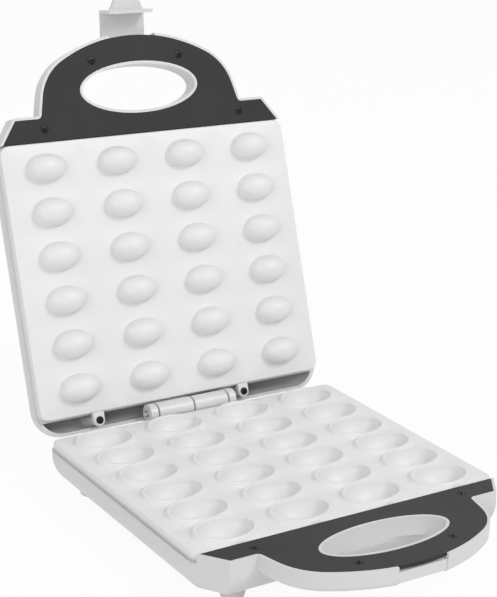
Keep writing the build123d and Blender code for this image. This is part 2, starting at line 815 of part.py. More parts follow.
# Lid shell, built closed and then swung open like every lid piece
pivot_depth = latch_pivot_depth
with BuildPart() as lid_shell:
    housing(lid_half, lid_bowl, lid_hollow, handle_body(lid_half), lid_fitting, lid_pillar_top)
    for xs in lid_knuckles:
        web = (hinge_y - barrel_radius, plate_back + lid_back_reach)
        block(lid_half, xs, web, hinge_z - lid_face, web_height)
        bar_x(xs, hinge_y, hinge_z, barrel_radius)
    bar_x((-hinge_half, hinge_half), hinge_y, hinge_z, pin_radius + running_gap, Mode.SUBTRACT)
    lug_hole_end = lug_drop + lug_screw_length
    column(lid_half, lug_places, 0, lug_hole_end, lug_screw_radius + screw_fit, Mode.SUBTRACT)
    eye = latch_eye + latch_slot_gap
    for side in (-1, 1):
        slot_in = latch_half - latch_cheek - latch_slot_gap
        slot_out = latch_half + latch_side_gap
        xs = sorted((side * slot_in, side * slot_out))
        ys = (handle_front - 2 * rim_width, latch_y + eye)
        block(lid_half, xs, ys, pivot_depth - latch_root - latch_slot_gap, pan_depth, Mode.SUBTRACT)
    pin_hole = latch_pin_radius + running_gap
    bar_x((-latch_block_half, latch_block_half), latch_y, latch_z, pin_hole, Mode.SUBTRACT)
    with BuildSketch(Plane.YZ):
        with Locations((latch_y, latch_z)):
            Rectangle(latch_standoff * 2, latch_standoff * 2, align=(Align.MAX, Align.MIN))
            Circle(latch_standoff - latch_swing_gap, mode=Mode.SUBTRACT)
    extrude(amount=recess_half + recess_margin, both=True, mode=Mode.SUBTRACT)
open_up(lid_shell)
save(lid_shell, "lid_shell")

with BuildPart() as lid_handle_cover:
    cover(lid_half)
open_up(lid_handle_cover)
save(lid_handle_cover, "lid_handle_cover")

with BuildPart() as lid_cover_screws:
    cover_screw_set(lid_half)
open_up(lid_cover_screws)
save(lid_cover_screws, "lid_cover_screws")

# Lid plate with its two lugs
with BuildPart() as lid_plate:
    plate_body(lid_half, lid_heater, lid_reflector_depth)
    lug_under = lug_drop + lug_thick
    for x, y in lug_places:
        block(lid_half, (x - lug_radius, x + lug_radius), (plate_back - wall, y), lug_drop, lug_under)
    column(lid_half, lug_places, lug_drop, lug_under, lug_radius)
    plate_holes(lid_half, lid_heater, lid_reflector_depth)
    column(lid_half, lug_places, 0, pan_depth, lug_hole, Mode.SUBTRACT)
open_up(lid_plate)
save(lid_plate, "lid_plate")

# Domes, thin-walled and standing proud of the lid plate's face
def half_nut(inset, mode=Mode.ADD):
    """A dome's form below the lid's face, drawn in by an inset."""
    length = dome_half_length - inset
    width = dome_half_width - inset
    with BuildSketch() as foot:
        Ellipse(length, width)
    extrude(foot.sketch, amount=-dome_straight, mode=mode)
    with BuildSketch(Plane.XY.offset(-dome_straight)) as profile:
        Ellipse(length, width)
        with Locations((0, -row_pitch)):
            Rectangle(2 * column_pitch, 2 * row_pitch, mode=Mode.SUBTRACT)
    axis = Axis((0, 0, -dome_straight), (1, 0, 0))
    revolve(profile.sketch, axis=axis, revolution_arc=-180, mode=mode)


with BuildPart() as dome:
    half_nut(0)
    half_nut(dome_wall, Mode.SUBTRACT)

dome_spots = [Location((x, y + grid_y, lid_face)) for x, y, _ in nut_places]
with BuildPart() as lid_domes:
    add([dome.part.solid().moved(spot) for spot in dome_spots])
open_up(lid_domes)
save(lid_domes, "lid_domes")

with BuildPart() as lid_plate_screws:
    long_screw_set(lid_half, lid_reflector_depth)
open_up(lid_plate_screws)
save(lid_plate_screws, "lid_plate_screws")

with BuildPart() as lid_lug_screws:
    length = lug_screw_length - screw_fit
    screws(lid_half, lug_places, lug_drop, lug_head_radius, lug_head_height, lug_screw_radius, length, 1)
open_up(lid_lug_screws)
save(lid_lug_screws, "lid_lug_screws")

# Heating of the lid
with BuildPart() as lid_heating:
    heater(lid_half, lid_heater)
open_up(lid_heating)
save(lid_heating, "lid_heater")

with BuildPart() as lid_clamps:
    clamps(lid_half, lid_heater)
open_up(lid_clamps)
save(lid_clamps, "lid_heater_clamps")

with BuildPart() as lid_clamp_screws:
    clamp_screw_set(lid_half, lid_heater)
open_up(lid_clamp_screws)
save(lid_clamp_screws, "lid_clamp_screws")

with BuildPart() as lid_reflector:
    reflector(lid_half, lid_reflector_depth)
open_up(lid_reflector)
save(lid_reflector, "lid_reflector")

with BuildPart() as lid_thermostat:
    column(lid_half, [(0, grid_y)], plate_skin, plate_skin + thermostat_height, thermostat_radius)
open_up(lid_thermostat)
save(lid_thermostat, "lid_thermostat")

# Wires in the lid, from the heater pins to the hinge
lid_wire_z = lid_face + lid_heater
with BuildPart() as lid_wires:
    for side in (-1, 1):
        start = (side * pin_x, heater_end, lid_wire_z)
        middle = (side * wire_turn * pin_x, plate_back - 2 * wire_rise, lid_wire_z + wire_rise)
        end = (side * (hinge_half + wire_room), plate_back + seat_behind, lid_wire_z + wire_rise)
        with BuildLine() as run:
            Spline(start, middle, end, tangents=((0, 1, 1), (-side, 1, 0)))
        with BuildSketch(Plane(start, x_dir=(1, 0, 0), z_dir=(0, 1, 0))) as section:
            Circle(wire_radius)
        sweep(section.sketch, path=run.wire())
open_up(lid_wires)
save(lid_wires, "lid_wires")

# Latch: strap, two cheeks on the pin, lip and finger tab, drawn swung out
with BuildPart() as latch:
    strap_z = latch_z + latch_standoff
    end_y = latch_y - latch_grip - latch_lip_thick
    for side in (-1, 1):
        with BuildSketch(Plane.YZ.offset(side * (latch_half - latch_cheek / 2))) as section:
            with Locations((latch_y, latch_z)):
                Circle(latch_eye)
            Polygon(
                (latch_y + latch_eye, latch_z),
                (latch_y + latch_eye, strap_z + latch_strap),
                (latch_y - latch_root, strap_z + latch_strap),
                (latch_y - latch_root, strap_z),
                (latch_y - latch_eye, latch_z),
                align=None,
            )
        extrude(section.sketch, amount=latch_cheek / 2, both=True)
    with BuildSketch(Plane.YZ) as section:
        Polygon(
            (latch_y + latch_eye, strap_z),
            (latch_y + latch_eye, strap_z + latch_strap),
            (end_y, strap_z + latch_strap),
            (end_y, strap_z - latch_lip),
            (end_y + latch_lip_thick, strap_z - latch_lip),
            (end_y + latch_lip_thick, strap_z),
            align=None,
        )
    extrude(section.sketch, amount=latch_half, both=True)
    with BuildSketch(Plane.XY.offset(strap_z - latch_tab_inset)) as section:
        Polygon(
            (-latch_tab_half, end_y + latch_lip_thick / 2),
            (-latch_tab_end_half, end_y - latch_tab_length),
            (latch_tab_end_half, end_y - latch_tab_length),
            (latch_tab_half, end_y + latch_lip_thick / 2),
            align=None,
        )
    extrude(section.sketch, amount=latch_tab_thick)
    fillet(edges().filter_by(Axis.X).group_by(Axis.Z)[-1], latch_edge_round)
    bar_x((-latch_half, latch_half), latch_y, latch_z, latch_pin_radius + running_gap, Mode.SUBTRACT)
latch.part = latch.part.rotate(latch_line, latch_droop)
open_up(latch)
save(latch, "latch")

with BuildPart() as latch_pin:
    bar_x((-latch_pin_half, latch_pin_half), latch_y, latch_z, latch_pin_radius)
open_up(latch_pin)
save(latch_pin, "latch_pin")
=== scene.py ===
import json
from math import cos, hypot, pi, radians, sin

import bmesh
import bpy
from mathutils import Euler, Matrix, Vector


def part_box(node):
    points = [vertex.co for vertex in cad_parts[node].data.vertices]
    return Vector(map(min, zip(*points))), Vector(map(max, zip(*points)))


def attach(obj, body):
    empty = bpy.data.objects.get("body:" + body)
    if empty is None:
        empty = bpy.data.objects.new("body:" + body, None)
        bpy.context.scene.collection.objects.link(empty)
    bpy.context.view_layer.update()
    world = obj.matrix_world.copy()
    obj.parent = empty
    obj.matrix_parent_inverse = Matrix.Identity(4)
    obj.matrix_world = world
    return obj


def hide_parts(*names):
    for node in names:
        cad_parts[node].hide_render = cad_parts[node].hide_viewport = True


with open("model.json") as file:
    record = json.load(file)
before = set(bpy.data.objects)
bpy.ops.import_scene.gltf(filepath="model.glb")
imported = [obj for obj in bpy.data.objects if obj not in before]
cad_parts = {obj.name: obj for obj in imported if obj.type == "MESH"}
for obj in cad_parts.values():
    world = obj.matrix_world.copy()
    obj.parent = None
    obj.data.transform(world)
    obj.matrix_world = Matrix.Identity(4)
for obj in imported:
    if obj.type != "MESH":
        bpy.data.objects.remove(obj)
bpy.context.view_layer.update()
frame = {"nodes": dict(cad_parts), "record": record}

bl_info = {
    "name": "Nut waffle maker",
    "version": (1, 1, 0),
    "blender": (4, 5, 0),
    "location": "View3D > Sidebar > Nut maker",
    "description": "Dresses the nut waffle maker's CAD model with its cast plates, covers and finishes",
    "category": "Object",
}

MM = 0.001
NODES = frame["nodes"]
RECORD = frame["record"]
BODY_OF = {node: body for body, nodes in RECORD["behaviour"]["bodies"].items() for node in nodes}
SLOT_OF = {entry["node"]: entry["material_slot"] for entry in RECORD["subparts"]}

# The lid pieces are made closed and then swung open about the hinge, as the CAD model is
LID_OPEN = radians(110.0)
LID_HINGE = next(joint for joint in RECORD["behaviour"]["joints"] if joint["name"] == "lid_hinge")
HINGE_AT = Vector(LID_HINGE["pos_m"])
LID_TURN = (
    Matrix.Translation(HINGE_AT) @ Matrix.Rotation(-LID_OPEN, 4, "X") @ Matrix.Translation(-HINGE_AT)
)
BASE_FACE = 40.0 * MM
LID_FACE = 43.5 * MM
UP = (0.0, 0.0, 1.0)
DOWN = (0.0, 0.0, -1.0)


# Settings that a user would change

class MakerSettings(bpy.types.PropertyGroup):
    column_pitch: bpy.props.FloatProperty(
        name="Column pitch", description="Distance between nut columns",
        default=60.0 * MM, unit="LENGTH")
    row_pitch: bpy.props.FloatProperty(
        name="Row pitch", description="Distance between nut rows", default=33.3 * MM, unit="LENGTH")
    cup_length: bpy.props.FloatProperty(
        name="Cup half length", description="Half of a cup's length at its rim",
        default=20.6 * MM, unit="LENGTH")
    cup_width: bpy.props.FloatProperty(
        name="Cup half width", description="Half of a cup's width at its rim",
        default=15.1 * MM, unit="LENGTH")
    collar: bpy.props.FloatProperty(
        name="Collar height", description="Height of the raised rim round a cup",
        default=3.0 * MM, unit="LENGTH")
    dome_length: bpy.props.FloatProperty(
        name="Dome half length", description="Half of a dome's length",
        default=16.1 * MM, unit="LENGTH")
    dome_width: bpy.props.FloatProperty(
        name="Dome half width", description="Half of a dome's width",
        default=10.65 * MM, unit="LENGTH")
    shell_edge: bpy.props.FloatProperty(
        name="Shell edge", description="Radius on the shells' crisp edges",
        default=0.5 * MM, unit="LENGTH")
    cover_edge: bpy.props.FloatProperty(
        name="Cover edge", description="Radius on the handle covers' edges",
        default=0.4 * MM, unit="LENGTH")
    latch_edge: bpy.props.FloatProperty(
        name="Latch edge", description="Radius on the latch's edges",
        default=1.0 * MM, unit="LENGTH")
    shell_colour: bpy.props.FloatVectorProperty(
        name="Shell", description="White plastic of the two shells", subtype="COLOR",
        default=(0.68, 0.68, 0.68))
    plate_colour: bpy.props.FloatVectorProperty(
        name="Plate", description="Coating of the two plates", subtype="COLOR",
        default=(0.80, 0.80, 0.80))
    cover_colour: bpy.props.FloatVectorProperty(
        name="Cover", description="Dark plastic of the handle covers", subtype="COLOR",
        default=(0.022, 0.022, 0.022))
    dark_colour: bpy.props.FloatVectorProperty(
        name="Dark steel", description="Blackened screws", subtype="COLOR",
        default=(0.02, 0.02, 0.021))


def settings():
    """The scene's settings."""
    return bpy.context.scene.nut_maker


# Finishes: noise scales are in repeats per metre, tints are shares of the base colour

TINT_ENDS = (0.3, 0.7)
RELIEF = 0.1 * MM


def shader(name, colour, roughness, metallic=0.0, **sockets):
    """A material with its shader's plain values set on the sockets."""
    material = bpy.data.materials.new(name)
    material.use_nodes = True
    bsdf = material.node_tree.nodes["Principled BSDF"]
    bsdf.inputs["Base Color"].default_value = (*colour, 1.0)
    bsdf.inputs["Roughness"].default_value = roughness
    bsdf.inputs["Metallic"].default_value = metallic
    for socket, value in sockets.items():
        bsdf.inputs[socket.replace("_", " ")].default_value = value
    material.diffuse_color = (*colour, 1.0)
    return material


def noise(material, scale, detail=3.0, stretch=(1.0, 1.0, 1.0)):
    """Noise in the object's own coordinates, in pattern repeats per metre."""
    nodes, links = material.node_tree.nodes, material.node_tree.links
    place = nodes.new("ShaderNodeTexCoord")
    mapping = nodes.new("ShaderNodeMapping")
    texture = nodes.new("ShaderNodeTexNoise")
    mapping.inputs["Scale"].default_value = stretch
    texture.inputs["Scale"].default_value = scale
    texture.inputs["Detail"].default_value = detail
    links.new(place.outputs["Object"], mapping.inputs["Vector"])
    links.new(mapping.outputs["Vector"], texture.inputs["Vector"])
    return texture.outputs["Fac"]


def tint(material, value, colour, darker, lighter):
    """Colour that drifts a little between a darker and a lighter shade."""
    ramp = material.node_tree.nodes.new("ShaderNodeValToRGB")
    ends = ramp.color_ramp.elements
    ends[0].position, ends[1].position = TINT_ENDS
    ends[0].color = (*[c * darker for c in colour], 1.0)
    ends[1].color = (*[min(c * lighter, 1.0) for c in colour], 1.0)
    material.node_tree.links.new(value, ramp.inputs["Fac"])
    bsdf = material.node_tree.nodes["Principled BSDF"]
    material.node_tree.links.new(ramp.outputs["Color"], bsdf.inputs["Base Color"])


def roughen(material, value, low, high):
    """Roughness that varies over the surface between two values."""
    node = material.node_tree.nodes.new("ShaderNodeMapRange")
    node.inputs["To Min"].default_value = low
    node.inputs["To Max"].default_value = high
    bsdf = material.node_tree.nodes["Principled BSDF"]
    material.node_tree.links.new(value, node.inputs["Value"])
    material.node_tree.links.new(node.outputs["Result"], bsdf.inputs["Roughness"])


def bump(material, value, strength):
    """Fine relief."""
    nodes, links = material.node_tree.nodes, material.node_tree.links
    node = nodes.new("ShaderNodeBump")
    node.inputs["Strength"].default_value = strength
    node.inputs["Distance"].default_value = RELIEF
    links.new(value, node.inputs["Height"])
    links.new(node.outputs["Normal"], nodes["Principled BSDF"].inputs["Normal"])


def white_plastic():
    """Smooth moulded plastic with a faint ripple in its gloss."""
    colour = settings().shell_colour
    material = shader("White plastic", colour, roughness=0.34, Coat_Weight=0.1, Coat_Roughness=0.25)
    tint(material, noise(material, scale=9.0), colour, darker=0.985, lighter=1.01)
    roughen(material, noise(material, scale=60.0), low=0.3, high=0.4)
    bump(material, noise(material, scale=900.0), strength=0.04)
    return material


def plate_coating():
    """Pale satin coating over sand-cast aluminium."""
    colour = settings().plate_colour
    material = shader("Plate coating", colour, roughness=0.42)
    tint(material, noise(material, scale=14.0), colour, darker=0.975, lighter=1.01)
    roughen(material, noise(material, scale=45.0), low=0.38, high=0.5)
    bump(material, noise(material, scale=1400.0, detail=4.0), strength=0.08)
    return material


def cover_plastic():
    """Dark plastic with a fine spark-eroded grain."""
    colour = settings().cover_colour
    material = shader("Cover plastic", colour, roughness=0.5, Specular_IOR_Level=0.25)
    tint(material, noise(material, scale=20.0), colour, darker=0.9, lighter=1.1)
    roughen(material, noise(material, scale=80.0), low=0.45, high=0.6)
    bump(material, noise(material, scale=2400.0, detail=5.0), strength=0.25)
    return material


def blackened_steel():
    """Screws darkened with oxide."""
    colour = settings().dark_colour
    material = shader("Blackened steel", colour, roughness=0.35, metallic=0.8)
    tint(material, noise(material, scale=300.0), colour, darker=0.7, lighter=1.4)
    roughen(material, noise(material, scale=500.0), low=0.3, high=0.5)
    return material


def steel(name, colour, roughness, stretch=(1.0, 1.0, 1.0)):
    """Plain metal with faint drawn streaks."""
    material = shader(name, colour, roughness, metallic=1.0)
    tint(material, noise(material, scale=120.0, stretch=stretch), colour, darker=0.88, lighter=1.08)
    grain = noise(material, scale=260.0, stretch=stretch)
    roughen(material, grain, low=roughness * 0.8, high=roughness * 1.3)
    return material


def plain_moulding(name, colour, roughness):
    """Small moulded, rubber and sleeved parts."""
    material = shader(name, colour, roughness)
    tint(material, noise(material, scale=90.0), colour, darker=0.85, lighter=1.1)
    bump(material, noise(material, scale=1500.0), strength=0.15)
    return material


FINISH = {}


def finish_of(node):
    """The material of a CAD node's slot."""
    if not FINISH:
        FINISH.update({
            "shell_plastic": white_plastic(),
            "plate_coating": plate_coating(),
            "cover_plastic": cover_plastic(),
            "dark_screws": blackened_steel(),
            "steel": steel("Zinc steel", (0.55, 0.55, 0.56), 0.32),
            "heater_sheath": steel("Heater sheath", (0.28, 0.26, 0.25), 0.5, (1.0, 0.2, 1.0)),
            "reflector_sheet": steel("Reflector sheet", (0.78, 0.78, 0.79), 0.25, (1.0, 0.1, 1.0)),
            "pad_rubber": plain_moulding("Pad rubber", (0.018, 0.018, 0.019), 0.75),
            "ceramic": plain_moulding("Heat-proof moulding", (0.74, 0.71, 0.64), 0.55),
            "wire_sleeve": plain_moulding("Wire sleeve", (0.7, 0.69, 0.66), 0.6),
        })
    return FINISH[SLOT_OF[node]]


def paint(obj, material):
    """One material all over a piece."""
    obj.data.materials.clear()
    obj.data.materials.append(material)


def keep_node(node):
    """A CAD node stays as it is, in its finish."""
    obj = NODES[node]
    if not obj.material_slots:
        obj.data.materials.append(None)
    for slot in obj.material_slots:
        slot.material = finish_of(node)


def new_piece(name, mesh, node, *others):
    """A finished mesh that stands for a CAD node and rides on its body."""
    obj = bpy.data.objects.new(name, mesh)
    bpy.context.scene.collection.objects.link(obj)
    paint(obj, finish_of(node))
    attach(obj, BODY_OF[node])
    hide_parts(node, *others)


def settled(obj):
    """The plain mesh that an object's modifiers make, with the object itself taken away."""
    done = bpy.data.meshes.new_from_object(obj.evaluated_get(bpy.context.evaluated_depsgraph_get()))
    bpy.data.objects.remove(obj)
    return done


def loose_object(name, data):
    """A working object in the scene."""
    obj = bpy.data.objects.new(name, data)
    bpy.context.scene.collection.objects.link(obj)
    return obj


# Reading the CAD model's meshes; an edge sharper than SHARP is crisp

SHARP = radians(35.0)
MERGE = 0.002 * MM


def cad_copy(node):
    """A CAD node's mesh with its loose triangles joined."""
    mesh = bmesh.new()
    mesh.from_mesh(NODES[node].data)
    bmesh.ops.remove_doubles(mesh, verts=mesh.verts, dist=MERGE)
    return mesh


def islands(node, turn=None):
    """The lowest and highest corners of each solid of a CAD node, in the closed frame if turned."""
    mesh = cad_copy(node)
    if turn is not None:
        mesh.transform(turn.inverted())
    left = set(mesh.verts)
    boxes = []
    while left:
        found = [left.pop()]
        for vert in found:
            for edge in vert.link_edges:
                other = edge.other_vert(vert)
                if other in left:
                    left.remove(other)
                    found.append(other)
        boxes.append((
            Vector([min(vert.co[axis] for vert in found) for axis in range(3)]),
            Vector([max(vert.co[axis] for vert in found) for axis in range(3)]),
        ))
    mesh.free()
    return sorted(boxes, key=lambda box: (round(box[0].y, 4), box[0].x))


# Cast plates

COLUMNS = 4
ROWS = 6
LONG_STEPS = 18
SHORT_STEPS = 12
BOWL_RINGS = 11
FACE_EDGE = 1.2 * MM
FACE_CORNER = 5.8 * MM
SIDE_OUT = 0.42 * MM
PLATE_SIDE = 6.5 * MM
PLATE_WALL = 3.0 * MM
NUT_SHIFT = 0.7 * MM
EDGE_TURNS = (pi / 8, pi / 4, 3 * pi / 8, pi / 2)
COLLAR_CROWN = 1.3 * MM
COLLAR_FOOT = 4.8 * MM
COLLAR_STEPS = (0.35, 0.8, 1.3, 1.9, 2.6, 3.3, 4.0, 4.8)
LIP_ROUND = 0.5 * MM
LIP_FALL = 0.12 * MM
DOME_STRAIGHT = 1.4 * MM
DOME_FILLET = 1.0 * MM
FILLET_RISE = 0.7 * MM
FILLET_STEPS = (0.15, 0.5, 1.0)
SEAM = 0.02 * MM
SLIVER = 0.001 * MM


def plate_face():
    """The flat part of a plate's face: (x low, x high, y low, y high)."""
    low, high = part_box("base_plate")
    inset = FACE_EDGE - SIDE_OUT
    return low.x + inset, high.x - inset, low.y + inset, high.y - inset


def cell_bounds(index, count, pitch, middle, low, high):
    """A cell's start, centre and end along one direction; the outer cells reach the edge."""
    start = middle + (index - count / 2) * pitch
    first = low if index == 0 else start
    last = high if index == count - 1 else start + pitch
    return first, start + pitch / 2, last


def corner_centre(x, y, face):
    """The nearest point to (x, y) that the face's corners turn about."""
    x_low, x_high, y_low, y_high = face
    cx = min(max(x, x_low + FACE_CORNER), x_high - FACE_CORNER)
    cy = min(max(y, y_low + FACE_CORNER), y_high - FACE_CORNER)
    return cx, cy


def round_corner(x, y, face):
    """A point of the face's rim, drawn in round the plate's corners."""
    cx, cy = corner_centre(x, y, face)
    away = hypot(x - cx, y - cy)
    if away > FACE_CORNER:
        return cx + (x - cx) * FACE_CORNER / away, cy + (y - cy) * FACE_CORNER / away
    return x, y


def rim_points(span_x, span_y):
    """Points round a cell's rectangle, evenly along each side."""
    (x0, _, x1), (y0, _, y1) = span_x, span_y
    points = [(x0 + (x1 - x0) * i / LONG_STEPS, y0) for i in range(LONG_STEPS)]
    points += [(x1, y0 + (y1 - y0) * i / SHORT_STEPS) for i in range(SHORT_STEPS)]
    points += [(x1 - (x1 - x0) * i / LONG_STEPS, y1) for i in range(LONG_STEPS)]
    points += [(x0, y1 - (y1 - y0) * i / SHORT_STEPS) for i in range(SHORT_STEPS)]
    return points


def cup_rings(size):
    """A cup's rings: (share of the rim, height) inside it, then distances and height outside."""
    inside = []
    for i in range(1, BOWL_RINGS + 1):
        turn = pi / 2 * i / BOWL_RINGS
        inside.append((sin(turn), size.collar - LIP_FALL - size.cup_width * cos(turn)))

    def fall(distance):
        lip = LIP_FALL if distance < LIP_ROUND else 0.0
        part = min(max((distance - COLLAR_CROWN) / (COLLAR_FOOT - COLLAR_CROWN), 0.0), 1.0)
        return size.collar * (1 + cos(pi * part)) / 2 - lip
    return inside, [step * MM for step in COLLAR_STEPS], fall


def dome_rings(size):
    """A dome's rings: it rises from a small fillet, stands straight a little and rounds over."""
    inside = []
    for i in range(1, BOWL_RINGS + 1):
        turn = pi / 2 * i / BOWL_RINGS
        inside.append((sin(turn), DOME_STRAIGHT + size.dome_width * cos(turn)))

    def fall(distance):
        return FILLET_RISE * (1 - min(distance / DOME_FILLET, 1.0)) ** 2
    return inside, [step * MM for step in FILLET_STEPS], fall


def plate_cell(mesh, span_x, span_y, half_x, half_y, rings, face):
    """One nut's cell: the nut, what surrounds it, and flat face out to the cell's edge."""
    inside, outside, fall = rings
    cx, cy = span_x[1], span_y[1]
    spokes = []
    for x, y in rim_points(span_x, span_y):
        x, y = round_corner(x, y, face)
        dx, dy = x - cx, y - cy
        away = hypot(dx, dy)
        spokes.append((dx / away, dy / away, away, 1 / hypot(dx / away / half_x, dy / away / half_y)))
    levels = [
        [(ux * edge * share, uy * edge * share, z) for ux, uy, _, edge in spokes]
        for share, z in inside
    ]
    for distance in (*outside, None):
        ring = []
        for ux, uy, away, edge in spokes:
            out = away if distance is None else min(edge + distance, away)
            ring.append((ux * out, uy * out, fall(out - edge)))
        levels.append(ring)
    # The pole carries on the bowl's curve past its first ring
    middle_z = inside[0][1] + (inside[0][1] - inside[1][1]) / 3
    centre = mesh.verts.new((cx, cy, middle_z))
    rows = [[mesh.verts.new((cx + x, cy + y, z)) for x, y, z in level] for level in levels]
    for i in range(len(spokes)):
        after = (i + 1) % len(spokes)
        mesh.faces.new((centre, rows[0][i], rows[0][after]))
        for inner, outer in zip(rows, rows[1:]):
            mesh.faces.new((inner[i], outer[i], outer[after], inner[after]))


def plate_side(mesh, face):
    """The face's rounded edge and its upright side, drawn out from the border."""
    border = [edge for edge in mesh.edges if edge.is_boundary]
    steps = [(FACE_EDGE * sin(turn), FACE_EDGE * (1 - cos(turn))) for turn in EDGE_TURNS]
    steps.append((FACE_EDGE, PLATE_SIDE))
    home = {vert: vert.co.copy() for edge in border for vert in edge.verts}
    for out, drop in steps:
        grown = bmesh.ops.extrude_edge_only(mesh, edges=border)["geom"]
        verts = [item for item in grown if isinstance(item, bmesh.types.BMVert)]
        edges = [item for item in grown if isinstance(item, bmesh.types.BMEdge)]
        border = [edge for edge in edges if edge.is_boundary]
        pairs = [
            (vert, min(home, key=lambda old: (old.co - vert.co).length_squared))
            for vert in verts
        ]
        fresh = {}
        for vert, source in pairs:
            start = home[source]
            cx, cy = corner_centre(start.x, start.y, face)
            way = Vector((start.x - cx, start.y - cy, 0.0)).normalized()
            vert.co = (*(start + way * out).xy, start.z * (1 - out / FACE_EDGE) - drop)
            fresh[vert] = start
        home = fresh


def plate_skin(half_x, half_y, rings):
    """A whole plate face with its nuts, rounded edge and side, as an open skin at height zero."""
    size = settings()
    face = plate_face()
    middle = (face[2] + face[3]) / 2 - NUT_SHIFT
    mesh = bmesh.new()
    for j in range(ROWS):
        span_y = cell_bounds(j, ROWS, size.row_pitch, middle, face[2], face[3])
        for i in range(COLUMNS):
            span_x = cell_bounds(i, COLUMNS, size.column_pitch, 0.0, face[0], face[1])
            plate_cell(mesh, span_x, span_y, half_x, half_y, rings, face)
    bmesh.ops.remove_doubles(mesh, verts=mesh.verts, dist=SEAM)
    bmesh.ops.dissolve_degenerate(mesh, edges=mesh.edges, dist=SLIVER)
    plate_side(mesh, face)
    data = bpy.data.meshes.new("Plate skin")
    mesh.to_mesh(data)
    mesh.free()
    return data


def walled(data):
    """The skin given its wall."""
    obj = loose_object("Plate skin", data)
    solidify = obj.modifiers.new("Wall", "SOLIDIFY")
    solidify.thickness = PLATE_WALL
    solidify.offset = -1.0
    solidify.use_even_offset = True
    solidify.use_quality_normals = True
    return settled(obj)


class BasePlate(bpy.types.Operator):
    """Base plate with its cups and soft collars"""
    bl_idname = "nut_maker.base_plate"
    bl_label = "Base plate"

    def execute(self, context):
        size = settings()
        solid = walled(plate_skin(size.cup_length, size.cup_width, cup_rings(size)))
        solid.transform(Matrix.Translation((0, 0, BASE_FACE)))
        solid.shade_smooth()
        new_piece("Base_plate", solid, "base_plate")
        return {"FINISHED"}


# Lid plate's lugs, in the closed frame: how deep they start, how thick and how wide they are
LUG_DROP = 1.0 * MM
LUG_THICK = 3.5 * MM
LUG_RADIUS = 4.6 * MM
LUG_EDGE = 0.5 * MM
LUG_ROOT = 3.0 * MM
LUG_TURNS = 16


def add_lug(mesh, x, y, root):
    """A round-ended tongue from inside the plate's side to the screw, soft on the face's side."""
    start = LID_FACE + LUG_DROP
    sections = (
        (LUG_EDGE, start), (LUG_EDGE / 4, start + LUG_EDGE / 4),
        (0.0, start + LUG_EDGE), (0.0, start + LUG_THICK),
    )
    rings = []
    for inset, z in sections:
        radius = LUG_RADIUS - inset
        outline = [(x + radius, root)]
        for i in range(LUG_TURNS + 1):
            turn = pi * i / LUG_TURNS
            outline.append((x + radius * cos(turn), y + radius * sin(turn)))
        outline.append((x - radius, root))
        rings.append([mesh.verts.new((px, py, z)) for px, py in outline])
    mesh.faces.new(list(reversed(rings[0])))
    mesh.faces.new(rings[-1])
    for low, high in zip(rings, rings[1:]):
        for i in range(len(low)):
            after = (i + 1) % len(low)
            mesh.faces.new((low[i], low[after], high[after], high[i]))


class LidPlate(bpy.types.Operator):
    """Lid plate with its domes and the two lugs beside the hinge"""
    bl_idname = "nut_maker.lid_plate"
    bl_label = "Lid plate"

    def execute(self, context):
        size = settings()
        data = plate_skin(size.dome_length, size.dome_width, dome_rings(size))
        data.transform(Matrix.Diagonal((1.0, 1.0, -1.0, 1.0)))
        data.flip_normals()
        data.transform(Matrix.Translation((0, 0, LID_FACE)))
        solid = walled(data)
        mesh = bmesh.new()
        mesh.from_mesh(solid)
        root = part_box("base_plate")[1].y - LUG_ROOT
        for low, high in islands("lid_lug_screws", LID_TURN):
            middle = (low + high) / 2
            add_lug(mesh, middle.x, middle.y, root)
        mesh.to_mesh(solid)
        mesh.free()
        solid.transform(LID_TURN)
        solid.shade_smooth()
        solid.set_sharp_from_angle(angle=SHARP)
        new_piece("Lid_plate", solid, "lid_plate", "lid_domes")
        return {"FINISHED"}


# Moulded pieces: the CAD solid with its edges softened

FLAT_JOIN = radians(0.5)
SOFT_STEPS = 3
FACE_WEIGHT = 100
PAD_EDGE = 0.4 * MM


def softened(name, node, radius):
    """A CAD node's shape with every crisp edge rounded by a small radius."""
    mesh = cad_copy(node)
    bmesh.ops.dissolve_limit(mesh, angle_limit=FLAT_JOIN, verts=mesh.verts, edges=mesh.edges)
    data = bpy.data.meshes.new(name)
    mesh.to_mesh(data)
    mesh.free()
    data.shade_smooth()
    obj = loose_object(name, data)
    bevel = obj.modifiers.new("Soft edges", "BEVEL")
    bevel.width = radius
    bevel.segments = SOFT_STEPS
    bevel.limit_method = "ANGLE"
    bevel.angle_limit = SHARP
    bevel.use_clamp_overlap = True
    level = obj.modifiers.new("Level faces", "WEIGHTED_NORMAL")
    level.mode = "FACE_AREA"
    level.weight = FACE_WEIGHT
    new_piece(name, settled(obj), node)


class Shells(bpy.types.Operator):
    """The two white shells with softened edges"""
    bl_idname = "nut_maker.shells"
    bl_label = "Shells"

    def execute(self, context):
        softened("Base_housing", "base_shell", settings().shell_edge)
        softened("Lid_housing", "lid_shell", settings().shell_edge)
        return {"FINISHED"}


class HandleCovers(bpy.types.Operator):
    """The dark covers on the two handles"""
    bl_idname = "nut_maker.handle_covers"
    bl_label = "Handle covers"

    def execute(self, context):
        softened("Base_grip_cover", "base_handle_cover", settings().cover_edge)
        softened("Lid_grip_cover", "lid_handle_cover", settings().cover_edge)
        return {"FINISHED"}


class Latch(bpy.types.Operator):
    """The latch with its rounded strap, lip and tab"""
    bl_idname = "nut_maker.latch"
    bl_label = "Latch"

    def execute(self, context):
        softened("Latch_strap", "latch", settings().latch_edge)
        return {"FINISHED"}


# Turned pieces

TURNED_STEPS = 40


